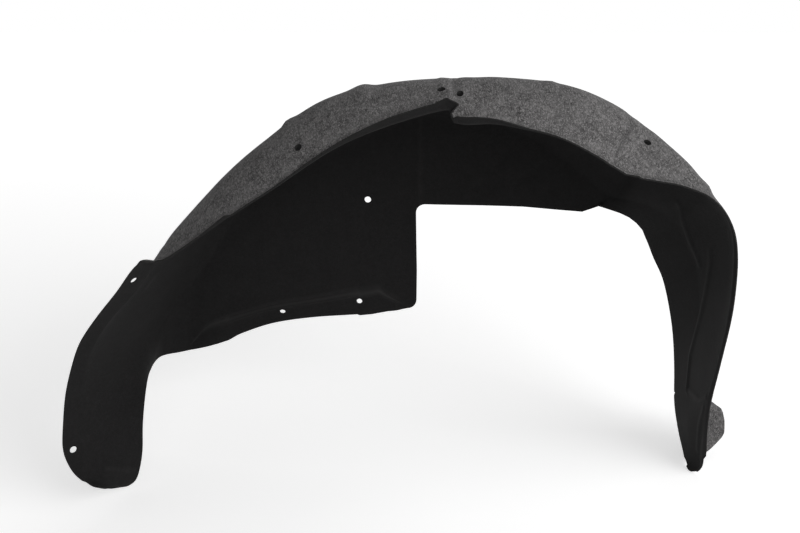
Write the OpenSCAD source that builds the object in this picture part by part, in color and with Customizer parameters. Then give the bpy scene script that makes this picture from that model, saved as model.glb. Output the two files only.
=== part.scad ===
// Wheel arch liner: one moulded and die-cut sheet of needle-punched felt.
// X runs along the vehicle, Y from the outboard lip to the inner wall, Z up.
// The frame's origin is the main fixing hole of the inner wall.

/* [Sheet] */
// Thickness of the felt sheet
sheet_t = 3; // [2:0.5:5]
// Length of the liner, front foot to rear leg
arch_length = 865; // [780:5:950]
// Depth of the arch, outboard lip to inner wall
arch_depth = 250; // [220:5:300]
// Height of the liner, foot to crown
arch_height = 570; // [510:5:630]
// Share of the roof's depth taken by the outboard shoulder
shoulder_share = 0.36; // [0.25:0.01:0.5]

/* [Moulded details] */
// Height of the highest ridge that crosses the roof
ridge_high = 4.5; // [0:0.5:8]
// Depth of the grooves across the roof's shoulder
groove_deep = 2.5; // [0:0.5:5]
// Height of the embossed band along the wall's lower edge
band_high = 6; // [0:0.5:10]
// Width of the fixing tab at the rear toe
tab_wide = 70; // [30:1:90]

/* [Fixing holes] */
// Bore of the wall, roof and leg fixing holes
hole_d = 9.5; // [6:0.5:12]
// Main wall hole: place along X and Z, as drawn in the table below
hole_main = [-54, 309];
// Lower wall hole
hole_low = [-68, 153];
// Hole in the wall's lower flange
hole_flange = [-185, 135];
// Front roof hole: place, then the turn about X and Y that sets it square to the sheet
hole_roof_front = [-120, 18, 430];
hole_roof_front_turn = [41, -33];
// Rear roof hole
hole_roof_rear = [291, 35, 435];
hole_roof_rear_turn = [33, 24];
// Hole in the front leg's flange
hole_leg = [-328, 14, 263];
hole_leg_turn = [-45, -64];
// Hole in the front foot: place, then turn about Z
hole_foot = [-429, 9, 29];
hole_foot_turn = 45;
// Twin holes at the crown of the roof
hole_twin_a = [47, 32, 497];
hole_twin_a_turn = [23, -4];
hole_twin_b = [69, 34, 492];
hole_twin_b_turn = [23, 5];

/* [Hidden] */
// Length, depth and height that the table is drawn for, and what brings it to the sizes above
DRAWN = [865, 250, 570];
FIT = [arch_length / DRAWN[0], arch_depth / DRAWN[1], arch_height / DRAWN[2]];
function fit(p) = [p[0] * FIT[0], p[1] * FIT[1], p[2] * FIT[2]];

// One row for each station round the arch, front foot to rear toe:
// near bend [x, y, z], lip [width, outboard], roof bulge, fold [x, y, z], far edge [x, y, z]
ST = [
  [[-402,   0, -20], [ 2,  1],  0, [-392,  30, -40], [-383,  56, -54]],
  [[-416,   1, -10], [ 4,  1],  0, [-388,  34, -31], [-370,  61, -48]],
  [[-420,  10,  11], [13, 10],  0, [-386,  40,  -8], [-364,  66, -32]],
  [[-423,  14,  35], [15, 14],  1, [-385,  48,  18], [-361,  76,  -8]],
  [[-419,  16,  72], [14, 16],  1, [-384,  74,  48], [-363,  95,  25]],
  [[-413,  17, 112], [12, 17],  1, [-380, 130,  80], [-368, 135,  55]],
  [[-402,  18, 149], [11, 18],  2, [-370, 212, 110], [-376, 185,  62]],
  [[-388,  20, 179], [12, 20],  5, [-350, 242, 143], [-374, 232,  63]],
  [[-365,  24, 209], [13, 24], 11, [-322, 250, 180], [-345, 250,  64]],
  [[-335,  28, 240], [16, 28], 16, [-296, 250, 212], [-310, 250,  73]],
  [[-306,  28, 277], [15.5, 28], 17, [-268, 250, 254], [-278, 250,  84]],
  [[-299,  22, 285], [ 2,  4], 18, [-262, 250, 264], [-268, 250,  88]],
  [[-279,  14, 295], [ 1,  4], 27, [-250, 250, 282], [-248, 250,  99]],
  [[-209,   4, 344], [ 1,  4], 40, [-196, 250, 336], [-200, 250, 116]],
  [[-149,   0, 383], [ 3,  4], 52, [-136, 250, 366], [-140, 250, 126]],
  [[ -76,   0, 430], [ 6,  6], 58, [ -66, 250, 402], [ -68, 250, 132]],
  [[  -9,   0, 458], [10,  8], 48, [  -8, 250, 424], [   0, 250, 125]],
  [[  55,   0, 475], [15, 10], 40, [  48, 250, 432], [  60, 250, 150]],
  [[  70,   0, 459], [11,  6], 51, [  66, 250, 431], [  74, 250, 280]],
  [[ 114,   0, 459], [ 6,  4], 53, [ 108, 250, 427], [ 121, 250, 284]],
  [[ 181,   0, 446], [ 0,  4], 63, [ 168, 250, 408], [ 185, 250, 282]],
  [[ 224,   0, 425], [ 0,  4], 69, [ 220, 250, 378], [ 232, 250, 278]],
  [[ 259,   0, 403], [ 0,  4], 74, [ 290, 246, 322], [ 280, 250, 280]],
  [[ 296,   0, 396], [ 0,  4], 59, [ 318, 215, 320], [ 305, 250, 276]],
  [[ 327,   0, 390], [ 0,  4], 38, [ 345, 190, 316], [ 333, 250, 270]],
  [[ 361,   0, 375], [ 0,  4], 16, [ 372, 172, 298], [ 353, 250, 253]],
  [[ 385,   0, 346], [ 0,  4], 12, [ 388, 165, 270], [ 366, 250, 225]],
  [[ 395,   0, 304], [ 2,  4], 10, [ 404, 162, 236], [ 385, 250, 186]],
  [[ 400,   8, 235], [ 2,  4],  5, [ 413, 160, 180], [ 403, 250, 120]],
  [[ 404,  35, 157], [ 1,  4],  2, [ 414, 178, 110], [ 414, 250,  56]],
  [[ 408,  70,  80], [ 3,  4],  0, [ 415, 165,  38], [ 418, 240,  -4]],
  [[ 412,  85,  44], [ 4,  4],  0, [ 412, 150,   2], [ 415, 205, -32]],
  [[ 421, 110, -16], [ 3,  3],  0, [ 418, 138, -34], [ 415, 170, -52]],
  [[ 426, 122, -46], [ 1,  2],  0, [ 421, 133, -52], [ 414, 142, -62]],
  [[ 422, 128, -59], [ 0,  2],  0, [ 419, 131, -61], [ 416, 134, -63]],
];
// Steps between one station and the next
STEPS = [1, 2, 1, 2, 2, 2, 2, 2, 2, 3, 3, 2, 3, 4, 5, 4, 4, 4, 3, 4, 4, 4, 4, 3, 2, 2, 2, 2, 2, 4, 4, 4, 2, 2];
// Shares of a step where the stations above need rings of their own: [station, [shares]]
SPLIT = [[10, [0.4, 0.55, 0.8]], [14, [0.2, 0.34, 0.46, 0.65, 0.82]], [15, [0.25, 0.5, 0.7, 0.85]],
  [16, [0.25, 0.5, 0.75, 0.86, 0.93]], [17, [0.12, 0.2, 0.45, 0.72]], [18, [0.22, 0.45, 0.72]],
  [19, [0.25, 0.45, 0.7, 0.81, 0.9]], [21, [0.2, 0.38, 0.5, 0.62, 0.8]]];
// Ridges across the roof: [station, share of ridge_high, reach before, reach after]
RIDGES = [[14.46, 0.65, 0.08, 0.15], [15.7, 1, 0.2, 0.15], [16.93, 0.22, 0.05, 0.1], [19.81, 0.33, 0.1, 0.07]];
// Grooves across the shoulder: [station, share of groove_deep, reach]
GROOVES = [[19.9, 0.4, 0.05], [21.5, 1, 0.1]];
// Height of the embossed band above the wall's lower edge, one for each station
BAND = [0, 0, 0, 0, 0, 0, 0, 0, 0, 34, 38, 36, 31, 28, 29, 37, 0, 0, 0, 0, 0, 0, 0, 0, 0, 0, 0, 0, 0, 0, 0, 0, 0, 0, 0];
// Lip where it stands up in points: [station, width, outboard, lean along X]
POINTS = [[10, 15.5, 28, 0], [10.4, 15, 26, 0], [10.55, 3, 8, 0], [11, 2, 4, 0],
  [16, 10, 8, 0], [16.7, 10.5, 8, 0], [17, 15.5, 10, -2], [17.12, 10, 10, 10], [17.2, 1, 2, 0],
  [17.45, 1, 2, 0], [18, 11, 6, -7], [18.45, 10.5, 6, -3], [19, 6, 4, 0], [19.45, 1.5, 4, 0], [20, 0, 4, 0]];
// Share of the rear tab's width by station
TAB = [[29.75, 0], [30, 0.8], [30.25, 1], [31.25, 1], [31.5, 0.82], [32, 0.5], [32.5, 0.15], [33, 0]];
// Segments of the section: lip, shoulder, roof, wall above the band, band
N_LIP = 1;
N_SHOULDER = 4;
N_ROOF = 7;
N_WALL = 2;
N_BAND = 1;
// Length of the drill for a hole that stands square to the sheet
DRILL = 24;

B = [for (r = ST) fit(r[0])];
LIP = [for (r = ST) r[1]];
BULGE = [for (r = ST) r[2]];
E = [for (r = ST) fit(r[3])];
FE = [for (r = ST) fit(r[4])];
LAST = len(ST) - 1;

// Smooth curve through the rows of p, at station t
function at(p, i) = p[max(0, min(len(p) - 1, i))];
function through(p, t) =
  let (i = min(len(p) - 2, floor(t)), u = t - i,
       a = at(p, i - 1), b = at(p, i), c = at(p, i + 1), d = at(p, i + 2))
  0.5 * (2 * b + (c - a) * u + (2 * a - 5 * b + 4 * c - d) * u * u + (3 * b - a - 3 * c + d) * u * u * u);
function bez(a, b, c, d, s) =
  a * pow(1 - s, 3) + b * 3 * s * pow(1 - s, 2) + c * 3 * s * s * (1 - s) + d * s * s * s;
function unit(v) = v / max(norm(v), 0.0001);
function bell(x, w) = exp(-(x / w) * (x / w));

function shares(i) =
  let (own = [for (r = SPLIT) if (r[0] == i) each concat([0], r[1])])
  len(own) > 0 ? own : [for (j = [0:STEPS[i] - 1]) j / STEPS[i]];
T = concat([for (i = [0:LAST - 1], s = shares(i)) i + s], [LAST]);

// Outward direction of the near bend, across the arch
function out_dir(t) =
  let (d = through(B, min(LAST, t + 1.2)) - through(B, max(0, t - 1.2)))
  unit([-d[2], 0, d[0]]);
function tab_at(t) = tab_wide * lookup(t, TAB);
// Lip's width, outboard reach and lean
function lip_at(t) =
  t < POINTS[0][0] || (t > 11 && t < 16) || t > 20
    ? concat(through(LIP, t), [0])
    : [for (k = [1:3]) lookup(t, [for (r = POINTS) [r[0], r[k]]])];
// How far along from fold to far edge the band starts
function band_share(t) =
  let (h = max(0, through(BAND, t)), l = norm(through(FE, t) - through(E, t)))
  max(h, min(8, 0.3 * l)) / l * (1 - min(1, tab_at(t) / 20));

// One section of the sheet's wheel side, lip edge to far edge
function section(t) =
  let (b = through(B, t), n = out_dir(t), w = lip_at(t), bu = through(BULGE, t),
       e = through(E, t), f = through(FE, t), tab = tab_at(t),
       a = b + n * w[0] + [w[2], -w[1], 0],
       c = b + (e - b) * shoulder_share + n * bu,
       b1 = b + (c - b) * 0.33 + n * 0.3 * bu,
       c0 = c - (e - b) * shoulder_share * 0.4,
       c1 = c + (e - b) * (1 - shoulder_share) * 0.45,
       e0 = e - unit(f - e) * norm(e - c) * 0.18 - (e - b) * (1 - shoulder_share) * 0.16,
       g = f + (e - f) * band_share(t),
       h = f + (e - f) * band_share(t) * 0.8 + [tab * 0.06, 0, 0],
       k = f + [tab, 0, 0])
  concat(
    [for (i = [0:N_LIP]) a + (b - a) * i / N_LIP],
    [for (i = [1:N_SHOULDER]) bez(b, b1, c0, c, i / N_SHOULDER)],
    [for (i = [1:N_ROOF]) bez(c, c1, e0, e, i / N_ROOF)],
    [for (i = [1:N_WALL]) e + (g - e) * i / N_WALL],
    [for (i = [0:N_BAND]) h + (k - h) * i / N_BAND]
  );
S = [for (t = T) section(t)];
M = len(T);
N = len(S[0]);
// First section points of the roof's end, the band and its face
I_CROWN = N_LIP + N_SHOULDER;
I_FOLD = I_CROWN + N_ROOF;
I_BAND = I_FOLD + N_WALL;

function nrm(i, j) =
  unit(cross(S[min(M - 1, i + 1)][j] - S[max(0, i - 1)][j],
             S[i][min(N - 1, j + 1)] - S[i][max(0, j - 1)]));
// Height of the moulded details, along the sheet's outward side
function detail(i, j) =
  let (t = T[i],
       groove = max([for (g = GROOVES) g[1] * bell(t - g[0], g[2])]),
       ridge = max([for (r = RIDGES) r[1] * bell(t - r[0], t < r[0] ? r[2] : r[3])]),
       over = j <= N_LIP || j > I_FOLD ? 0 : sin(180 * (j - N_LIP) / (I_FOLD - N_LIP)),
       shoulder = j <= N_LIP || j > I_CROWN ? 0 : sin(180 * (j - N_LIP) / (I_CROWN - N_LIP)),
       band = through(BAND, t) > 8 && j > I_BAND ? -band_high * min(1, (through(BAND, t) - 8) / 10) : 0)
  ridge_high * ridge * over - groove_deep * groove * shoulder + band;
NN = [for (i = [0:M - 1]) [for (j = [0:N - 1]) nrm(i, j)]];
IN = [for (i = [0:M - 1]) [for (j = [0:N - 1]) S[i][j] + NN[i][j] * detail(i, j)]];
OUT = [for (i = [0:M - 1]) [for (j = [0:N - 1]) IN[i][j] + NN[i][j] * sheet_t]];

function id(i, j) = i * N + j;
Q = M * N;
module moulded_sheet() {
  polyhedron(
    points = concat([for (r = IN) each r], [for (r = OUT) each r]),
    faces = concat(
      [for (i = [0:M - 2], j = [0:N - 2], k = [0, 1])
        k == 0 ? [id(i, j), id(i + 1, j), id(i + 1, j + 1)] : [id(i, j), id(i + 1, j + 1), id(i, j + 1)]],
      [for (i = [0:M - 2], j = [0:N - 2], k = [0, 1])
        k == 0 ? [Q + id(i, j), Q + id(i + 1, j + 1), Q + id(i + 1, j)] : [Q + id(i, j), Q + id(i, j + 1), Q + id(i + 1, j + 1)]],
      [for (i = [0:M - 2], k = [0, 1])
        k == 0 ? [id(i, 0), Q + id(i, 0), Q + id(i + 1, 0)] : [id(i, 0), Q + id(i + 1, 0), id(i + 1, 0)]],
      [for (i = [0:M - 2], k = [0, 1])
        k == 0 ? [id(i, N - 1), Q + id(i + 1, N - 1), Q + id(i, N - 1)] : [id(i, N - 1), id(i + 1, N - 1), Q + id(i + 1, N - 1)]],
      [for (j = [0:N - 2], k = [0, 1])
        k == 0 ? [id(0, j), Q + id(0, j + 1), Q + id(0, j)] : [id(0, j), id(0, j + 1), Q + id(0, j + 1)]],
      [for (j = [0:N - 2], k = [0, 1])
        k == 0 ? [id(M - 1, j), Q + id(M - 1, j), Q + id(M - 1, j + 1)] : [id(M - 1, j), Q + id(M - 1, j + 1), id(M - 1, j + 1)]]
    ),
    convexity = 12);
}

// The opening die-cut out of the wall for the suspension
module cut_out() {
  translate([0, arch_depth + 40, 0]) rotate([90, 0, 0]) linear_extrude(height = 75) scale([FIT[0], FIT[2]])
    polygon(concat(
      [[-50, 60], [-50, 132], [-36, 135]],
      [for (a = [-90:15:0]) [4, 154] + 14 * [cos(a), sin(a)]],
      [[19, 190], [16.5, 250]],
      [for (a = [180:-15:90]) [29, 290] + 12.5 * [cos(a), sin(a)]],
      [[120, 301.5], [185, 299.5], [232, 294.5], [258, 293], [273, 303], [289, 310.5],
       [281, 302], [298, 297.5], [316, 293], [334, 281], [344, 269], [352, 254], [352, 60]]
    ));
}
// A hole at p, drawn along Z and turned as asked
module hole(p, turn = [0, 0, 0], l = 40) {
  translate(fit(p)) rotate(turn) cylinder(d = hole_d, h = l, center = true, $fn = 48);
}
// Holes through the wall along Y, and square to the sheet elsewhere
module wall_hole(p) { hole([p[0], DRAWN[1], p[1]], [-90, 0, 0]); }
module square_hole(p, turn) { hole(p, [turn[0], turn[1], 0], DRILL); }

module liner() {
  color([0.11, 0.11, 0.115])
  translate(-fit([hole_main[0], DRAWN[1], hole_main[1]]))
  difference() {
    moulded_sheet();
    cut_out();
    for (p = [hole_main, hole_low, hole_flange]) wall_hole(p);
    square_hole(hole_roof_front, hole_roof_front_turn);
    square_hole(hole_twin_a, hole_twin_a_turn);
    square_hole(hole_twin_b, hole_twin_b_turn);
    square_hole(hole_roof_rear, hole_roof_rear_turn);
    square_hole(hole_leg, hole_leg_turn);
    hole(hole_foot, [90, 0, hole_foot_turn], DRILL);
  }
}

liner();
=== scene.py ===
"""Looks of a wheel arch liner: one moulded sheet of needle-punched felt.

The sheet's wheel side is swept from a table of stations round the arch, in the
source's drawing sizes. A geometry nodes tree presses the moulded forms into it,
gives it its thickness and pierces its holes.
"""

import math

import bpy
import numpy as np
from mathutils import Euler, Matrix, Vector


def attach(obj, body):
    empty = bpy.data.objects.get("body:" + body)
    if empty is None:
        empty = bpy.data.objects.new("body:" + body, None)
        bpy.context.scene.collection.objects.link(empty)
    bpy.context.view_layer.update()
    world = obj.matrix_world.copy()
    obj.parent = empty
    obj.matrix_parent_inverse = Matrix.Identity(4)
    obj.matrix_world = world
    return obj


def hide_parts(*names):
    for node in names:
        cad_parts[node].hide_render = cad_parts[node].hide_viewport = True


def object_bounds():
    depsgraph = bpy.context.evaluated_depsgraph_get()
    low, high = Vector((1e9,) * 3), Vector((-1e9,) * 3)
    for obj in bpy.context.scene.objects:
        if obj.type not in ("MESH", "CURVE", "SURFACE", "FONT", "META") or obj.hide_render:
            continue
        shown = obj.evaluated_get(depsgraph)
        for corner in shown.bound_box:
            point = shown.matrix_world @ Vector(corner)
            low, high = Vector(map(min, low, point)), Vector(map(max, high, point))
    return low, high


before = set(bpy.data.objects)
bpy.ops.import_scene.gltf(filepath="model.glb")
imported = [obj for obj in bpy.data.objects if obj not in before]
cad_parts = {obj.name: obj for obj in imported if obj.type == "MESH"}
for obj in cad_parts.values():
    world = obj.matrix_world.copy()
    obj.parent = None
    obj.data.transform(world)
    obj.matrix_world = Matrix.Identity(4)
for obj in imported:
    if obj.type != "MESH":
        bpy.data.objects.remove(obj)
cad_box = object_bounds()

MM = 0.001
# The frame's origin, the main fixing hole, in the drawing's millimetres
MAIN_HOLE = np.array([-54.0, 250.0, 309.0])


def to_frame(p):
    """Drawing millimetres to the frame's metres."""
    return (np.asarray(p, float) - MAIN_HOLE) * MM


# Camera

CAMERA_AT = (28.6, -1024.4, 630.9)
CAMERA_DOWN = 18.4       # degrees below the horizon
CAMERA_LEFT = 1.6        # degrees turned to the left
FOCAL_PX, FRAME_PX, SENSOR = 900, 800, 36.0

camera_data = bpy.data.cameras.new("photo_camera")
camera_data.sensor_width = SENSOR
camera_data.lens = FOCAL_PX / FRAME_PX * SENSOR
camera = bpy.data.objects.new("photo_camera", camera_data)
camera.location = to_frame(CAMERA_AT)
camera.rotation_euler = Euler((math.radians(90 - CAMERA_DOWN), 0, math.radians(CAMERA_LEFT)))
bpy.context.scene.collection.objects.link(camera)
bpy.context.scene.camera = camera

# The sheet's sizes, in mm

THICK = 3.0
SHOULDER_SHARE = 0.36    # share of the roof's depth taken by the shoulder
RIDGE_HIGH = 4.5
GROOVE_DEEP = 2.5
BAND_HIGH = 6.0
TAB_WIDE = 70.0
HOLE_D = 9.5
RING_SPACING = 4.4       # the near bend and the fold go no further from one section to the next
FAR_COUNTS = 0.8         # share of the far edge's steps that is held to the same
AHEAD = 1.2              # stations on each side that give a section its direction
LIP_CURL = 1.6           # how late the lip turns outboard on its way out
# Handles of the roof's curves, as shares of what they bend
RISE_ALONG, RISE_OUT, LEVEL_BACK = 0.33, 0.3, 0.4
ONWARD, TURN_UP, TURN_BACK = 0.45, 0.18, 0.16
# Painted light, lighter on the black felt and darker on the grey: along the near bend, with its reach
# and first station, and the band
BEND_PAINTED_LIGHT, BEND_PAINTED_LIGHT_WIDE, BEND_PAINTED_LIGHT_FROM = 0.45, 2.0, 10
BAND_PAINTED_LIGHT = 0.8
CREST = 0.6              # share of a crease's reach that carries painted light

# Stations, front foot to rear toe:
# near bend (x, y, z), lip (width, outboard), roof bulge, fold (x, y, z), far edge (x, y, z)
STATIONS = [
    ((-402, 0, -20), (2, 1), 0, (-392, 30, -42.5), (-381.5, 57, -56)),
    ((-416, 1, -10), (4, 1), 0, (-388, 34, -31), (-370, 61, -48)),
    ((-420, 10, 11), (13, 10), 0, (-386, 40, -8), (-364, 66, -32)),
    ((-423, 14, 35), (15, 14), 1, (-385, 48, 18), (-361, 76, -8)),
    ((-419, 16, 72), (14, 16), 1, (-384, 74, 48), (-363, 95, 25)),
    ((-413, 17, 112), (12, 17), 1, (-380, 130, 80), (-368, 135, 55)),
    ((-402, 18, 149), (11, 18), 2, (-370, 212, 110), (-376, 185, 62)),
    ((-388, 20, 179), (12, 20), 5, (-350, 242, 143), (-374, 232, 63)),
    ((-365, 24, 209), (13, 24), 11, (-322, 250, 180), (-345, 250, 64)),
    ((-335, 28, 240), (16, 28), 16, (-296, 250, 212), (-310, 250, 73)),
    ((-306, 28, 277), (15.5, 28), 17, (-268, 250, 254), (-278, 250, 84)),
    ((-299, 22, 285), (2, 4), 18, (-262, 250, 264), (-268, 250, 88)),
    ((-279, 14, 295), (1, 4), 27, (-250, 250, 282), (-248, 250, 99)),
    ((-209, 4, 344), (1, 4), 40, (-196, 250, 336), (-200, 250, 116)),
    ((-149, 0, 383), (3, 4), 52, (-136, 250, 366), (-140, 250, 126)),
    ((-76, 0, 430), (6, 6), 58, (-66, 250, 402), (-68, 250, 132)),
    ((-9, 0, 458), (10, 8), 49, (-8, 250, 424), (4, 250, 140)),
    ((55, 0, 475), (15, 10), 40, (48, 250, 432), (29, 250, 302.5)),
    ((70, 0, 459), (11, 6), 53, (66, 250, 431), (60, 250, 302)),
    ((114, 0, 459), (6, 4), 54, (108, 250, 427), (112, 250, 301.5)),
    ((181, 0, 446), (0, 4), 63, (168, 250, 408), (172, 250, 300)),
    ((224, 0, 425), (0, 4), 70, (220, 250, 378), (225, 250, 295.5)),
    ((259.5, 0, 403.5), (0, 4), 72.3, (290, 246, 322), (281, 248, 302)),
    ((296, 0, 396), (0, 4), 59, (318, 215, 320), (310, 236, 294.5)),
    ((327, 0, 390), (0, 4), 39, (345, 190, 316), (335, 239, 279)),
    ((361, 0, 375), (0, 4), 16, (372, 172, 298), (353, 250, 253)),
    ((385, 0, 346), (0, 4), 12, (388, 165, 270), (366, 250, 225)),
    ((395, 0, 304), (2, 4), 10, (404, 162, 236), (385, 250, 186)),
    ((400, 8, 235), (2, 4), 5, (413, 160, 180), (403, 250, 120)),
    ((404, 35, 157), (1, 4), 2, (414, 178, 110), (413, 250, 56)),
    ((408, 70, 80), (3, 4), 0, (415, 165, 38), (416.5, 240, -4)),
    ((412, 85, 44), (4, 4), 0, (412, 150, 2), (415.5, 205, -32)),
    ((421, 110, -16), (3, 3), 0, (418, 138, -34), (416, 170, -52)),
    ((427.5, 122, -48), (1, 2), 0, (420.8, 133, -56), (414.5, 144, -61.5)),
    ((424, 127, -60), (0, 2), 0, (421, 131, -63), (418, 135, -65.5)),
]
NEAR, LIP, BULGE, FOLD, FAR = (
    np.array([row[k] for row in STATIONS], float) for k in range(5))
LAST = len(STATIONS) - 1
# Lip where it stands up in points: (station, width, outboard, lean along X)
POINTS = np.array([
    (10, 15.5, 28, 0), (10.4, 15, 26, 0), (10.55, 3, 8, 0), (11, 2, 4, 0), (12, 1, 3, 0),
    (12.6, 1, 3, 0), (13.05, 4, 5, 0), (13.16, 0.5, 3, 0), (14, 1, 3, 0), (15, 4.5, 6, 0),
    (16, 10.5, 9.5, 0), (16.7, 11, 9.5, 0), (17, 16, 11, -2), (17.1, 10.5, 11, 9), (17.2, 1, 2, 0),
    (17.45, 1, 2, 0), (18, 11, 6, -7), (18.45, 10.5, 6, -3), (19, 6, 4, 0), (19.45, 1.5, 4, 0),
    (20, 0, 4, 0), (31, 4, 4, 0), (31.6, 6, 3, 0), (32, 7.5, 3, 0), (32.3, 7.5, 2, 0),
    (32.5, 3, 2, 0), (33, 1.5, 1.5, 0), (34, 0, 0.5, 0)])
# Near bend round the foot's end and where it has corners: (station, x, y, z)
CORNERS = np.array([
    (0, -398, 0, -19.2), (0.3, -403, 0.2, -18), (0.6, -408.5, 0.5, -15.4), (1, -416, 1, -10),
    (17, 55, 0, 475), (17.1, 56, 0, 474.5), (17.2, 56.5, 0, 473), (17.45, 58.5, 0, 467),
    (17.72, 62, 0, 461), (18, 70, 0, 459), (21.5, 242, 0, 414), (22, 259.5, 0, 403.5),
    (22.5, 277.5, 0, 400.5)])
# Share of the rear tab's width: (station, share)
TAB = np.array([
    (29.75, 0), (30, 0.8), (30.25, 1), (30.4, 1.03), (30.7, 1.035), (31, 1), (31.2, 0.97),
    (31.35, 0.91), (31.5, 0.82), (32, 0.52), (32.5, 0.15), (33, 0)])
# Ridges across the roof: (station, share of the height, reach before, reach after)
RIDGES = [(14.46, 0.7, 0.06, 0.12), (15.7, 1, 0.2, 0.15), (16.93, 0.22, 0.05, 0.1),
          (19.81, 0.33, 0.1, 0.07), (24.72, 0.75, 0.2, 0.17)]
# Grooves across the shoulder: (station, share of the depth, reach)
GROOVES = [(19.9, 0.5, 0.05), (21.5, 0.8, 0.11)]
# Creases and swages pressed into the sheet: (depth, reach, painted light on the crest, places along
# it)
# A plus depth goes towards the body side
CREASES = [
    (-1.2, 5, 0.15, [(22, 250, 440), (22, 250, 302)]),
    (1.3, 3.5, 0, [(156, 250, 390), (125, 250, 353), (105, 250, 326)]),
    (1.3, 3.5, 0, [(198, 250, 362), (174, 250, 345), (156, 250, 330)]),
    (-1.8, 4.5, 0.35, [(362, 141, 334), (378, 154, 301), (393, 153, 270), (404, 151, 246)]),
    (-2.0, 5, 0.25, [(400, 110, 276), (408, 120, 255), (412, 139, 205), (414, 161, 149),
                     (414, 179, 99), (415, 180, 58), (415, 178, 45)]),
    (-1.6, 4.5, 0.35, [(415, 178, 45), (411, 104, 65), (409, 75, 84)]),
    (-1.2, 4, 0.3, [(409, 84, 64), (413, 104, 26), (419, 119, -20)]),
    (-1.4, 4, 0.2, [(-397, 28, -9), (-371, 58, -30)]),
    (-1.2, 5, 0.25, [(-334, 115, 236), (-347, 114, 219)]),
    (-2.2, 4, 0.6, [(61, 62, 499), (62, 29, 490), (64, 12, 480)]),
    (-1.3, 5, 0.8, [(271, 56, 454), (260, 34, 443), (250, 14, 428)]),
    (-1.7, 4, 0.4, [(180, 48, 490), (177, 12, 461)]),
]
# Height of the embossed band above the wall's lower edge, by station
BAND = np.zeros(LAST + 1)
BAND[9:17] = (34, 38, 36, 31, 28, 29, 37, 37)
# Stations where it starts and ends, and how many it takes to rise and to close
BAND_START, BAND_RISE, BAND_END, BAND_CLOSE = 8.3, 1.4, 15.6, 0.3
BAND_LOW, BAND_FULL = 8, 18    # heights between which it gains its relief
BAND_SIDE = 0.8                # share of its height where its side reaches the face
# Where there is no band, its rows take this much of the wall: mm, or a share of it
PLAIN_EDGE, PLAIN_SHARE = 8, 0.3
# The tab's width at which those rows have closed, and the share of it in the last of them
TAB_BLEND, TAB_SIDE = 20, 0.06
# The suspension cut-out's edge between stations 15 and 25: (station, x, y, z)
CUT_EDGE = np.array([
    (15, -68, 250, 130), (15.2, -50, 250, 132), (15.4, -25, 250, 137),
    *[(15.55 + 0.15 * a / 90, 4 + 14 * math.sin(math.radians(a)), 250,
       154 - 14 * math.cos(math.radians(a))) for a in range(0, 91, 15)],
    (15.85, 18.3, 250, 200), (16, 17.2, 250, 250),
    *[(16.1 + 0.2 * a / 90, 29 - 12.5 * math.cos(math.radians(a)), 250,
       290 + 12.5 * math.sin(math.radians(a))) for a in range(0, 91, 15)],
    (17.6, 56, 250, 302), (19, 112, 250, 301.5), (20, 172, 250, 300),
    (21, 225, 250, 295.5), (21.6, 258, 250, 293), (22, 281, 248, 302),
    (22.5, 298, 242, 297.5), (23, 310, 236, 294.5), (23.5, 323, 235, 288.5),
    (24, 335, 239, 279), (24.5, 345, 242, 268), (25, 353, 250, 253),
])
# The slit that parts the wall from the rear leg's flap: its outline, and where it is cut
SLIT = [(255, 270), (258, 292), (273, 303), (293, 315), (289, 308), (283, 301), (279, 285)]
SLIT_ACROSS = (235, 262)
# Holes: place, the turns about X and Y that point the drill, shares of the diameter
HOLES = [
    ((-54, 250, 309), (-90, 0), (1, 1)), ((-68, 247, 153), (-90, 0), (0.87, 0.87)),
    ((-185, 247, 135), (-90, 0), (0.9, 0.65)), ((-120, 18, 430), (41, -33), (1, 1)),
    ((47, 32, 498), (23, -4), (1, 1)), ((69, 34, 493), (16, 0), (0.86, 1.15)),
    ((290, 35, 434), (33, 24), (1, 0.9)), ((-328, 14, 263), (-45, -64), (1, 1)),
    ((-429, 9, 29), (45, 90), (1, 1)),
]
DRILL_LONG, DRILL_SIDES = 20.0, 40
# Shares of the thickness: at the sheet's rim and one row in, then at the toe's pressed tip,
# with what it gains for each station away from it
RIM, RIM_NEXT = 0.55, 0.88
TOE_TIP, TOE_GROWS = 0.6, 1.2

# Rows of a section, as shares of each part of it
LIP_ROWS = (0, 0.12, 0.3, 0.55, 0.8, 1)
SHOULDER_ROWS = (0.02, 0.05, 0.09, *np.linspace(0.14, 1, 14))
ROOF_ROWS = np.linspace(0, 1, 28)[1:]
WALL_ROWS = (0.012, 0.03, *np.linspace(0.06, 1, 28))
BAND_SIDE_ROWS = (0.5, 1)
BAND_ROWS = (0.1, 0.22, 0.4, 0.6, 0.8, 0.93, 1)
NEAR_ROW = len(LIP_ROWS) - 1
CROWN_ROW = NEAR_ROW + len(SHOULDER_ROWS)
FOLD_ROW = CROWN_ROW + len(ROOF_ROWS)
BAND_ROW = FOLD_ROW + len(WALL_ROWS)


# Sweeping the sheet

def through(p, t):
    """Smooth curve through the rows of p, at the stations t."""
    p = p if p.ndim == 2 else p[:, None]
    i = np.minimum(np.floor(t).astype(int), len(p) - 2)
    u = (t - i)[:, None]
    a, b, c, d = (p[np.clip(i + k, 0, len(p) - 1)] for k in (-1, 0, 1, 2))
    return 0.5 * (2 * b + (c - a) * u + (2 * a - 5 * b + 4 * c - d) * u ** 2
                  + (3 * b - a - 3 * c + d) * u ** 3)


def along(table, t):
    """A table's values at the stations t, straight from each row to the next."""
    return np.column_stack([np.interp(t, table[:, 0], value) for value in table[:, 1:].T])


def far_edge(t):
    """The sheet's far edge, along the cut-out where there is one."""
    edge = through(FAR, t)
    cut = (t >= CUT_EDGE[0, 0]) & (t <= CUT_EDGE[-1, 0])
    edge[cut] = along(CUT_EDGE, t[cut])
    return edge


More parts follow.
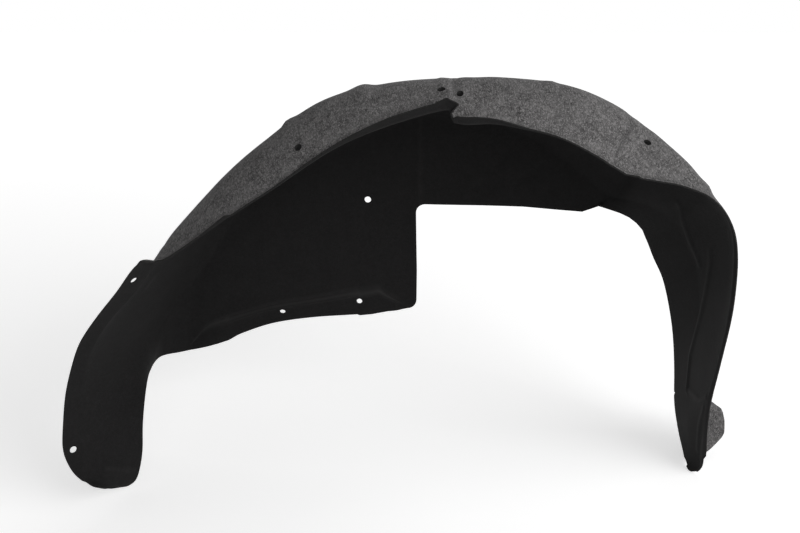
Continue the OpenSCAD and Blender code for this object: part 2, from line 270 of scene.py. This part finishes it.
def near_at(t):
    """The near bend, along its corners where it has them."""
    near = through(NEAR, t)
    own = (t < 1) | (t > 17) & (t < 18) | (t > 21.5) & (t < 22.5)
    near[own] = along(CORNERS, t[own])
    return near


def band_at(t):
    """Height of the embossed band."""
    return np.maximum(0, through(BAND, t)[:, 0]) * np.clip((BAND_END - t) / BAND_CLOSE, 0, 1)


def lip_at(t):
    """The lip's width, outboard reach and lean."""
    lip = np.column_stack([through(LIP, t), 0 * t])
    own = (t >= POINTS[0, 0]) & (t <= 20) | (t >= 31)
    lip[own] = along(POINTS, t[own])
    return lip


def station_steps(spacing):
    """Stations close enough that the sheet's edges take no step longer than spacing."""
    stops = sorted(set(range(LAST + 1)) | {
        round(float(entry[0]), 3)
        for table in (CUT_EDGE, POINTS, CORNERS, TAB, RIDGES) for entry in table})
    steps = [0.0]
    for a, b in zip(stops, stops[1:]):
        ends = np.array([a, b], float)
        reach = max(np.linalg.norm(np.diff(p, axis=0)) for p in
                    (through(NEAR, ends), through(FOLD, ends), FAR_COUNTS * far_edge(ends)))
        count = max(1, math.ceil(reach / spacing))
        steps += [a + (b - a) * (k + 1) / count for k in range(count)]
    return np.array(steps)


def unit(v):
    """Vectors of length one."""
    return v / np.maximum(np.linalg.norm(v, axis=-1, keepdims=True), 1e-6)


def bezier(a, b, c, d, s):
    """Points at the shares s of curves from a to d, with the handles b and c."""
    s = np.asarray(s, float)[None, :, None]
    a, b, c, d = (p[:, None, :] for p in (a, b, c, d))
    return (a * (1 - s) ** 3 + 3 * b * s * (1 - s) ** 2
            + 3 * c * s ** 2 * (1 - s) + d * s ** 3)


def straight(a, b, s):
    """Points at the shares s of straight lines from a to b."""
    s = np.asarray(s, float)[None, :, None]
    return a[:, None, :] * (1 - s) + b[:, None, :] * s


def lip_rows(near, out, lip):
    """The lip from its edge down to the near bend; it leans outboard most near its edge."""
    up = 1 - np.asarray(LIP_ROWS)[None, :, None]
    wide, reach, lean = (lip[:, None, k:k + 1] for k in range(3))
    side = np.array([0.0, -1.0, 0.0])
    return (near[:, None, :] + out[:, None, :] * wide * up + side * reach * up ** LIP_CURL
            + np.array([1.0, 0.0, 0.0]) * lean * up)


def bell(x, width):
    """1 at nought, falling off smoothly on both sides."""
    return np.exp(-(x / width) ** 2)


def sweep(t):
    """The sheet's wheel side: one section of points for each station of t."""
    near, lip, bulge = near_at(t), lip_at(t), through(BULGE, t)
    fold, far = through(FOLD, t), far_edge(t)
    ahead = through(NEAR, np.minimum(LAST, t + AHEAD)) - through(NEAR, np.maximum(0, t - AHEAD))
    out = unit(np.stack([-ahead[:, 2], 0 * t, ahead[:, 0]], 1))
    # The bend's corner behind the crown doesn't reach up into the shoulder
    base = np.where(t[:, None] > 20, through(NEAR, t), near)
    into = fold - base
    crown = base + into * SHOULDER_SHARE + out * bulge
    rise = near + (crown - near) * RISE_ALONG + out * RISE_OUT * bulge
    level = crown - into * SHOULDER_SHARE * LEVEL_BACK
    onward = crown + into * (1 - SHOULDER_SHARE) * ONWARD
    turn = (fold - unit(far - fold) * np.linalg.norm(fold - crown, axis=1)[:, None] * TURN_UP
            - into * (1 - SHOULDER_SHARE) * TURN_BACK)
    tab = TAB_WIDE * along(TAB, t)[:, 0]
    long = np.linalg.norm(far - fold, axis=1)
    high = np.maximum(band_at(t), np.minimum(PLAIN_EDGE, PLAIN_SHARE * long))
    share = (high / long * (1 - np.minimum(1, tab / TAB_BLEND)))[:, None]
    tab = np.stack([tab, 0 * t, 0 * t], 1)
    band_top = far + (fold - far) * share
    band_face = far + (fold - far) * share * BAND_SIDE + tab * TAB_SIDE
    return np.concatenate([
        lip_rows(near, out, lip),
        bezier(near, rise, level, crown, SHOULDER_ROWS),
        bezier(crown, onward, turn, fold, ROOF_ROWS),
        straight(fold, band_top, WALL_ROWS),
        straight(band_top, band_face, BAND_SIDE_ROWS),
        straight(band_face, far + tab, BAND_ROWS)], 1)


def ease(sheet, row, reach, rounds):
    """Round a bend that runs along a row by easing the rows beside it."""
    for _ in range(rounds):
        near = sheet[:, row - reach - 1:row + reach + 2]
        near[:, 1:-1] = 0.5 * near[:, 1:-1] + 0.25 * (near[:, :-2] + near[:, 2:])
    return sheet


steps = station_steps(RING_SPACING)
sheet = sweep(steps)
sheet = ease(sheet, NEAR_ROW, reach=2, rounds=3)
sheet = ease(sheet, FOLD_ROW, reach=3, rounds=4)
ACROSS = sheet.shape[1]

# Moulded forms, as relief in mm

row = np.arange(ACROSS)


def arched(first, last):
    """Share that rises and falls again between two rows."""
    return np.where((row > first) & (row < last), np.sin(np.pi * (row - first) / (last - first)), 0)


ridge = np.max([high * bell(steps - at, np.where(steps < at, before, after))
                for at, high, before, after in RIDGES], axis=0)
groove = np.max([deep * bell(steps - at, reach) for at, deep, reach in GROOVES], axis=0)
relief = (RIDGE_HIGH * np.outer(ridge, arched(NEAR_ROW, FOLD_ROW))
          - GROOVE_DEEP * np.outer(groove, arched(NEAR_ROW, CROWN_ROW)))


def creased(sheet):
    """Height of the creases at each point of the sheet, and the painted light on their crests."""
    lift, rub = np.zeros((2, *sheet.shape[:2]))
    for deep, reach, painted, places in CREASES:
        away = np.full(sheet.shape[:2], np.inf)
        for a, b in zip(np.array(places[:-1], float), np.array(places[1:], float)):
            share = np.clip((sheet - a) @ (b - a) / ((b - a) @ (b - a)), 0, 1)
            away = np.minimum(away, np.linalg.norm(sheet - a - share[..., None] * (b - a), axis=2))
        lift += deep * bell(away, reach)
        rub += painted * bell(away, CREST * reach)
    return lift, rub


pressed, rub = creased(sheet)
relief += pressed

# The band stands towards the wheel; its side is half way up at its first row
band = np.clip((band_at(steps) - BAND_LOW) / (BAND_FULL - BAND_LOW), 0, 1)
risen = band * np.clip((steps - BAND_START) / BAND_RISE, 0, 1)
relief -= BAND_HIGH * np.outer(risen, np.clip(row - BAND_ROW - 0.5, 0, 1))

# Painted light along the near bend and the band's upper edge: a lighter colour on the black felt, a
# darker one on the grey
from_bend = np.linalg.norm(sheet - sheet[:, NEAR_ROW:NEAR_ROW + 1], axis=2)
rub += BEND_PAINTED_LIGHT * np.clip(steps - BEND_PAINTED_LIGHT_FROM, 0, 1)[:, None] * bell(from_bend, BEND_PAINTED_LIGHT_WIDE)
rub += BAND_PAINTED_LIGHT * np.outer(band, bell(row - BAND_ROW - 1, 1))

# Node trees

FLOAT, COLOUR, SHAPE = "NodeSocketFloat", "NodeSocketColor", "NodeSocketGeometry"
MATERIAL, OBJECT = "NodeSocketMaterial", "NodeSocketObject"


def put(tree, kind, feeds=None, **settings):
    """A node with its settings, whose inputs take values or other nodes' sockets."""
    made = tree.nodes.new(kind)
    for name, value in settings.items():
        setattr(made, name, value)
    for key, value in (feeds or {}).items():
        if isinstance(value, bpy.types.NodeSocket):
            tree.links.new(value, made.inputs[key])
        else:
            made.inputs[key].default_value = value
    return made


def new_tree(name, kind, takes, gives):
    """An empty node group with its named sockets, and its two end nodes."""
    tree = bpy.data.node_groups.new(name, kind)
    for side, sockets in (("INPUT", takes), ("OUTPUT", gives)):
        for label, socket, default in sockets:
            made = tree.interface.new_socket(name=label, in_out=side, socket_type=socket)
            if default is not None:
                made.default_value = default
    return tree, put(tree, "NodeGroupInput").outputs, put(tree, "NodeGroupOutput").inputs


def maths(tree, sign, a, b=0.0, clamp=False):
    return put(tree, "ShaderNodeMath", {0: a, 1: b}, operation=sign, use_clamp=clamp).outputs[0]


def vectors(tree, sign, a, b=(0, 0, 0), scale=1.0):
    other = {"Scale": scale} if sign == "SCALE" else {1: b}
    made = put(tree, "ShaderNodeVectorMath", {0: a, **other}, operation=sign)
    return made.outputs["Value" if sign in ("DOT_PRODUCT", "LENGTH") else 0]


def attribute(tree, name, kind="FLOAT"):
    return put(tree, "GeometryNodeInputNamedAttribute", {"Name": name}, data_type=kind).outputs[0]


def run_tree(piece, tree, values):
    """Put a piece through a geometry nodes tree and keep the result as its mesh."""
    step = piece.modifiers.new(tree.name, "NODES")
    step.node_group = tree
    for item in tree.interface.items_tree:
        if item.item_type == "SOCKET" and item.in_out == "INPUT" and item.name in values:
            step[item.identifier] = values[item.name]
    depsgraph = bpy.context.evaluated_depsgraph_get()
    made = bpy.data.meshes.new_from_object(piece.evaluated_get(depsgraph), depsgraph=depsgraph)
    piece.modifiers.remove(step)
    piece.data = made
    made.name = piece.name
    return piece


SHARP_ANGLE = 0.7    # radians between faces past which an edge isn't smoothed
CUT_FACING = 0.55    # a face that faces along the sheet's normal less than this is a cut edge


def moulding_tree():
    """Surface with relief to a pressed, pierced sheet of felt."""
    tree, given, result = new_tree("moulded_felt", "GeometryNodeTree", [
        ("Geometry", SHAPE, None), ("Thickness", FLOAT, 0.003), ("Relief", FLOAT, 1.0),
        ("Waviness", FLOAT, 0.0008), ("Wave Scale", FLOAT, 14.0),
        ("Hole Diameter", FLOAT, 0.0095), ("Hole Places", OBJECT, None),
        ("Slit", OBJECT, None), ("Wheel Side", MATERIAL, None),
        ("Body Side", MATERIAL, None), ("Cut Edge", MATERIAL, None)],
        [("Geometry", SHAPE, None)])

    def shift(shape, offset, selection=True):
        return put(tree, "GeometryNodeSetPosition", {
            "Geometry": shape, "Selection": selection, "Offset": offset}).outputs[0]

    def paint(shape, finish, selection=True):
        return put(tree, "GeometryNodeSetMaterial", {
            "Geometry": shape, "Selection": selection, "Material": finish}).outputs[0]

    # Moulded forms and a slight waviness, along the surface's own normal
    wave = put(tree, "ShaderNodeTexNoise", {"Scale": given["Wave Scale"], "Detail": 2.0})
    lift = maths(tree, "MULTIPLY", maths(tree, "SUBTRACT", wave.outputs[0], 0.5), given["Waviness"])
    forms = maths(tree, "MULTIPLY", attribute(tree, "relief"), given["Relief"])
    lift = maths(tree, "ADD", lift, forms)
    normal = put(tree, "GeometryNodeInputNormal").outputs[0]
    pressed = shift(given["Geometry"], vectors(tree, "SCALE", normal, scale=lift))
    kept = put(tree, "GeometryNodeStoreNamedAttribute", {
        "Geometry": pressed, "Name": "grow", "Value": normal},
        data_type="FLOAT_VECTOR", domain="POINT").outputs[0]

    # Thickness, less where the edge was pressed
    grow = vectors(tree, "SCALE", attribute(tree, "grow", "FLOAT_VECTOR"), scale=given["Thickness"])
    share = attribute(tree, "share")
    low = maths(tree, "MULTIPLY", maths(tree, "SUBTRACT", 1.0, share), 0.5)
    tall = maths(tree, "MULTIPLY", maths(tree, "ADD", 1.0, share), 0.5)
    thick = maths(tree, "SUBTRACT", tall, low)
    wheel = shift(kept, vectors(tree, "SCALE", grow, scale=low))
    wheel = put(tree, "GeometryNodeFlipFaces", {0: wheel}).outputs[0]
    wheel = paint(wheel, given["Wheel Side"])
    raised = put(tree, "GeometryNodeExtrudeMesh", {
        "Mesh": kept, "Offset Scale": 0.0, "Individual": False}, mode="FACES").outputs
    body = shift(raised["Mesh"], vectors(tree, "SCALE", grow, scale=low))
    body = shift(body, vectors(tree, "SCALE", grow, scale=thick), raised["Top"])
    body = paint(body, given["Body Side"])
    both = put(tree, "GeometryNodeJoinGeometry")
    for part in (wheel, body):
        tree.links.new(part, both.inputs[0])
    shell = put(tree, "GeometryNodeMergeByDistance", {
        "Geometry": both.outputs[0], "Distance": 1e-5}).outputs[0]

    # Holes pierced square to the directions stored with their places, and the slit
    places, slit = (
        put(tree, "GeometryNodeObjectInfo", {"Object": given[name]}).outputs["Geometry"]
        for name in ("Hole Places", "Slit"))
    radius = maths(tree, "MULTIPLY", given["Hole Diameter"], 0.5)
    drill = put(tree, "GeometryNodeMeshCylinder", {
        "Vertices": DRILL_SIDES, "Depth": DRILL_LONG * MM, "Radius": radius},
        fill_type="NGON").outputs["Mesh"]
    turned = put(tree, "FunctionNodeAlignRotationToVector", {
        "Vector": attribute(tree, "along", "FLOAT_VECTOR")}, axis="Z").outputs[0]
    drills = put(tree, "GeometryNodeInstanceOnPoints", {
        "Points": places, "Instance": drill, "Rotation": turned,
        "Scale": attribute(tree, "wide", "FLOAT_VECTOR")}).outputs[0]
    drills = put(tree, "GeometryNodeRealizeInstances", {0: drills}).outputs[0]
    pierced = put(tree, "GeometryNodeMeshBoolean", {"Mesh 1": shell},
                  operation="DIFFERENCE", solver="MANIFOLD")
    for tool in (drills, slit):
        tree.links.new(tool, pierced.inputs["Mesh 2"])

    # Faces that stand across the sheet are its cut edges
    soft = put(tree, "GeometryNodeSetShadeSmooth", {
        "Geometry": pierced.outputs["Mesh"], "Shade Smooth": True}).outputs[0]
    angle = put(tree, "GeometryNodeInputMeshEdgeAngle").outputs["Unsigned Angle"]
    sharp = maths(tree, "GREATER_THAN", angle, SHARP_ANGLE)
    soft = put(tree, "GeometryNodeSetShadeSmooth", {
        "Geometry": soft, "Selection": sharp, "Shade Smooth": False}, domain="EDGE").outputs[0]
    through_sheet = vectors(tree, "NORMALIZE", attribute(tree, "grow", "FLOAT_VECTOR"))
    facing = maths(tree, "ABSOLUTE", vectors(tree, "DOT_PRODUCT", normal, through_sheet))
    edge = maths(tree, "LESS_THAN", facing, CUT_FACING)
    single = put(tree, "GeometryNodeRealizeInstances", {0: soft}).outputs[0]
    tree.links.new(paint(single, given["Cut Edge"], edge), result[0])
    return tree


# Felt materials

def noise(tree, place, scale, detail=2.0, rough=0.5):
    return put(tree, "ShaderNodeTexNoise", {
        "Vector": place, "Scale": scale, "Detail": detail, "Roughness": rough}).outputs[0]


def centred(tree, value, gain):
    """A noise value about nought, times its gain."""
    return maths(tree, "MULTIPLY", maths(tree, "SUBTRACT", value, 0.5), gain)


# Directions of the lays of fibres, and a fibre's width as a share of its length
LAYS, FIBRE_THIN = ((0.4, 0.9, 0.3), (1.3, -0.5, 1.9), (-0.8, 2.0, 0.7)), 0.13
BEND_SCALE, BEND_FAR = 110.0, 0.0035    # how often and how far, in metres, the fibres wander
LOCK_SHARE = 0.45                       # scale of locks of fibres beside single ones
LOCK_FROM, LOCK_TO = 0.6, 0.78          # heights between which a lock stands out
LOCK_HIGH = 0.4                         # how far a lock rises above the mat
SMALL_CLOUDS = 4.5                      # scale of the small clouds beside the large ones
MEAN_TONE = 0.42                        # tone between the dark colour and the light one
ROUGH_DARK, ROUGH_LIGHT = 0.88, 0.98    # roughness of the darkest and the lightest felt
PILE_DEEP = 0.0012                      # metres


def felt_group():
    """Needle-punched felt: crossed fibres, soft clouds, a pile's height and painted light."""
    tree, given, result = new_tree("felt_pile", "ShaderNodeTree", [
        ("Dark", COLOUR, (0.03, 0.03, 0.03, 1)), ("Light", COLOUR, (0.16, 0.16, 0.16, 1)),
        ("Fibre Scale", FLOAT, 700.0), ("Cloud Scale", FLOAT, 45.0),
        ("Fibres", FLOAT, 1.6), ("Streaks", FLOAT, 1.0), ("Clouds", FLOAT, 0.6),
        ("Rub", FLOAT, 0.0), ("Rubbed", COLOUR, (0.05, 0.05, 0.05, 1))],
        [("Color", COLOUR, None), ("Height", FLOAT, None), ("Roughness", FLOAT, None)])
    place = put(tree, "ShaderNodeTexCoord").outputs["Object"]
    wander = put(tree, "ShaderNodeTexNoise", {
        "Vector": place, "Scale": BEND_SCALE, "Detail": 1.0}).outputs["Color"]
    wander = vectors(tree, "SUBTRACT", wander, (0.5, 0.5, 0.5))
    bent = vectors(tree, "ADD", place, vectors(tree, "SCALE", wander, scale=BEND_FAR))
    # Lays of fibres in several directions: the mean is the mat, the highest stand out as streaks
    coarse = maths(tree, "MULTIPLY", given["Fibre Scale"], LOCK_SHARE)
    lays, locks = [], []
    for turn in LAYS:
        lay = put(tree, "ShaderNodeMapping", {
            "Vector": bent, "Rotation": turn, "Scale": (1.0, FIBRE_THIN, 1.0)}).outputs[0]
        lays.append(noise(tree, lay, given["Fibre Scale"], 1.0))
        locks.append(noise(tree, lay, coarse, 1.0))
    mat = maths(tree, "ADD", maths(tree, "ADD", lays[0], lays[1]), lays[2])
    mat = maths(tree, "DIVIDE", mat, len(LAYS))
    top = maths(tree, "MAXIMUM", maths(tree, "MAXIMUM", locks[0], locks[1]), locks[2])
    streak = put(tree, "ShaderNodeMapRange", {
        "Value": top, "From Min": LOCK_FROM, "From Max": LOCK_TO}).outputs[0]
    large = noise(tree, place, given["Cloud Scale"], 3.0, 0.6)
    small = noise(tree, bent, maths(tree, "MULTIPLY", given["Cloud Scale"], SMALL_CLOUDS))
    cloud = maths(tree, "ADD", centred(tree, large, given["Clouds"]),
                  centred(tree, small, given["Clouds"]))
    tone = maths(tree, "ADD", centred(tree, mat, given["Fibres"]), cloud)
    streaks = put(tree, "ShaderNodeMath", {0: streak, 1: given["Streaks"], 2: MEAN_TONE},
                  operation="MULTIPLY_ADD").outputs[0]
    tone = maths(tree, "ADD", tone, streaks, clamp=True)
    colour = put(tree, "ShaderNodeMix", {
        0: tone, 6: given["Dark"], 7: given["Light"]}, data_type="RGBA").outputs[2]
    # Painted light: the colour moves toward the painted light colour as far as the sheet's painted
    # light share goes
    painted_colour = put(tree, "ShaderNodeMix", {
        0: given["Rub"], 6: colour, 7: given["Rubbed"]}, data_type="RGBA").outputs[2]
    height = maths(tree, "ADD", mat, maths(tree, "MULTIPLY", streak, LOCK_HIGH))
    rough = put(tree, "ShaderNodeMapRange", {
        "Value": tone, "To Min": ROUGH_DARK, "To Max": ROUGH_LIGHT}).outputs[0]
    for value, socket in ((painted_colour, "Color"), (height, "Height"), (rough, "Roughness")):
        tree.links.new(value, result[socket])
    return tree


FELT = felt_group()


def felt(name, dark, light, painted, values, bump, sheen):
    """A felt finish: the shared pile with its own colours, height and sheen."""
    finish = bpy.data.materials.new(name)
    finish.use_nodes = True
    tree = finish.node_tree
    tree.nodes.clear()
    # Share of painted light at each point, from the sheet's attribute
    painted_light_share = put(tree, "ShaderNodeAttribute", attribute_name="rub").outputs["Fac"]
    pile = put(tree, "ShaderNodeGroup", node_tree=FELT)
    colours = {"Dark": (*dark, 1), "Light": (*light, 1), "Rubbed": (*painted, 1)}
    for key, value in (colours | values).items():
        pile.inputs[key].default_value = value
    tree.links.new(painted_light_share, pile.inputs["Rub"])
    lift = put(tree, "ShaderNodeBump", {
        "Height": pile.outputs["Height"], "Strength": bump, "Distance": PILE_DEEP})
    skin = put(tree, "ShaderNodeBsdfPrincipled", {
        "Base Color": pile.outputs["Color"], "Roughness": pile.outputs["Roughness"],
        "Normal": lift.outputs[0], "Specular IOR Level": 0.15,
        "Sheen Weight": sheen, "Sheen Roughness": 0.45, "Sheen Tint": (0.8, 0.8, 0.8, 1)})
    put(tree, "ShaderNodeOutputMaterial", {"Surface": skin.outputs[0]})
    return finish


# Each finish has its darkest and lightest colour, its painted light colour (a painted highlight on
# the black and cut felt, darker on the grey) and its own values of the pile
wheel_felt = felt(
    "black_felt", (0.006, 0.0058, 0.0059), (0.0165, 0.016, 0.0162), (0.035, 0.034, 0.034),
    {"Fibre Scale": 1200.0, "Cloud Scale": 40.0, "Streaks": 0.3}, bump=0.3, sheen=0.0)
body_felt = felt(
    "grey_felt", (0.023, 0.0223, 0.0224), (0.206, 0.2, 0.2), (0.045, 0.044, 0.044),
    {"Fibre Scale": 1100.0, "Cloud Scale": 44.0, "Clouds": 0.8, "Fibres": 2.3}, bump=0.45, sheen=0.06)
edge_felt = felt(
    "cut_felt", (0.01, 0.0098, 0.0098), (0.028, 0.0275, 0.027), (0.03, 0.03, 0.03),
    {"Fibre Scale": 1200.0, "Cloud Scale": 90.0}, bump=0.5, sheen=0.0)

# Building the sheet

def mesh_piece(name, points, faces, attributes=()):
    """A mesh object with its named values at each point."""
    mesh = bpy.data.meshes.new(name)
    mesh.from_pydata([tuple(p) for p in points], [], faces)
    for label, kind, values in attributes:
        layer = mesh.attributes.new(label, kind, "POINT")
        layer.data.foreach_set("vector" if kind == "FLOAT_VECTOR" else "value",
                               np.asarray(values, np.float32).ravel())
    piece = bpy.data.objects.new(name, mesh)
    bpy.context.scene.collection.objects.link(piece)
    return piece


def grid_faces(rows, columns):
    """Four-sided faces of a grid of points."""
    return [(i * columns + j, (i + 1) * columns + j, (i + 1) * columns + j + 1, i * columns + j + 1)
            for i in range(rows - 1) for j in range(columns - 1)]


def hole_places():
    """One point for each hole, with the direction and the width that it is pierced in."""
    places, turns, shares = zip(*HOLES)
    pierced = [Euler((math.radians(x), math.radians(y), 0)).to_matrix() @ Vector((0, 0, 1))
               for x, y in turns]
    return mesh_piece("hole_places", [to_frame(at) for at in places], [], [
        ("along", "FLOAT_VECTOR", pierced),
        ("wide", "FLOAT_VECTOR", [(*share, 1) for share in shares])])


def slit_tool():
    """A prism through the wall with the slit's outline."""
    count = len(SLIT)
    points = [to_frame((x, y, z)) for y in SLIT_ACROSS for x, z in SLIT]
    faces = [tuple(range(count)), tuple(range(2 * count - 1, count - 1, -1))]
    faces += [(k, k + count, (k + 1) % count + count, (k + 1) % count) for k in range(count)]
    return mesh_piece("slit_tool", points, faces)


# The sheet's edges are pressed thinner, and so is the tip of the toe
ring = np.arange(len(steps))
from_rim = np.minimum.outer(np.minimum(ring, ring[::-1]), np.minimum(row, row[::-1]))
edge_share = np.select([from_rim == 0, from_rim == 1], [RIM, RIM_NEXT], 1.0)
edge_share *= np.clip(TOE_TIP + TOE_GROWS * (LAST - steps), 0, 1)[:, None]

# The sheet carries its relief, its thickness share and its painted light at each point
felt_sheet = mesh_piece(
    "felt_sheet", to_frame(sheet.reshape(-1, 3)), grid_faces(len(steps), ACROSS), [
        ("relief", "FLOAT", relief * MM), ("share", "FLOAT", edge_share),
        ("rub", "FLOAT", np.clip(rub, 0, 1))])
places, slit = hole_places(), slit_tool()
run_tree(felt_sheet, moulding_tree(), {
    "Thickness": THICK * MM, "Hole Diameter": HOLE_D * MM, "Hole Places": places, "Slit": slit,
    "Wheel Side": wheel_felt, "Body Side": body_felt, "Cut Edge": edge_felt})
for tool in (places, slit):
    bpy.data.objects.remove(tool)

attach(felt_sheet, "root")
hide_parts("liner")

# Floor, light and background

WHITE_FLOOR, WORLD = 0.9, 0.21
FLOOR_REACH = 9.0
GLOW_NEAR, GLOW_FAR = 0.5, 0.85    # the paper's own light near the part and far behind it
GLOW_FROM, GLOW_TO = 0.6, 3.5      # metres from the part between which it changes
LAMP_SIZE = 1.6
# Lamps: name, place, the point that it shines at, power in watts
LAMPS = [
    ("key_lamp", (2.0, -2.2, 1.2), (0.1, -0.1, 0), 36),
    ("side_lamp", (2.6, -0.9, 1.1), (0.1, -0.1, 0), 20),
    ("front_lamp", (0.5, -2.6, 0.3), (0, 0, 0), 16),
    ("back_lamp", (0.5, 2.0, 1.6), (0, 0, 0), 10),
]


def seen_plainly(tree):
    """1 for what the camera sees, itself or in gloss or glass, and 0 for light on the part."""
    rays = put(tree, "ShaderNodeLightPath").outputs
    return maths(tree, "MAXIMUM", rays["Is Camera Ray"], maths(
        tree, "MAXIMUM", rays["Is Glossy Ray"], rays["Is Transmission Ray"]))


floor = mesh_piece("floor", [
    (x * FLOOR_REACH, y * FLOOR_REACH, cad_box[0][2])
    for x, y in ((-1, -1), (1, -1), (1, 1), (-1, 1))], [(0, 1, 2, 3)])
paper = bpy.data.materials.new("white_paper")
paper.use_nodes = True
tree = paper.node_tree
tree.nodes.clear()
matt = put(tree, "ShaderNodeBsdfDiffuse", {"Color": (WHITE_FLOOR,) * 3 + (1,)})
distance = vectors(tree, "LENGTH", put(tree, "ShaderNodeTexCoord").outputs["Object"])
spread = put(tree, "ShaderNodeMapRange", {
    "Value": distance, "From Min": GLOW_FROM, "From Max": GLOW_TO,
    "To Min": GLOW_NEAR, "To Max": GLOW_FAR}).outputs[0]
glow = put(tree, "ShaderNodeEmission", {
    "Color": (1, 1, 1, 1), "Strength": maths(tree, "MULTIPLY", seen_plainly(tree), spread)})
mixed = put(tree, "ShaderNodeAddShader", {0: matt.outputs[0], 1: glow.outputs[0]})
put(tree, "ShaderNodeOutputMaterial", {"Surface": mixed.outputs[0]})
floor.data.materials.append(paper)

world = bpy.data.worlds.new("studio")
bpy.context.scene.world = world
world.use_nodes = True
tree = world.node_tree
tree.nodes.clear()
strength = put(tree, "ShaderNodeMapRange", {
    "Value": seen_plainly(tree), "To Min": WORLD, "To Max": 1.0})
air = put(tree, "ShaderNodeBackground", {"Color": (1, 1, 1, 1), "Strength": strength.outputs[0]})
put(tree, "ShaderNodeOutputWorld", {"Surface": air.outputs[0]})

for name, at, aim, power in LAMPS:
    lamp = bpy.data.lights.new(name, "AREA")
    lamp.energy, lamp.size = power, LAMP_SIZE
    stand = bpy.data.objects.new(name, lamp)
    stand.location = at
    stand.rotation_euler = (Vector(aim) - Vector(at)).to_track_quat("-Z", "Y").to_euler()
    bpy.context.scene.collection.objects.link(stand)

bpy.context.scene.view_settings.view_transform = "Standard"
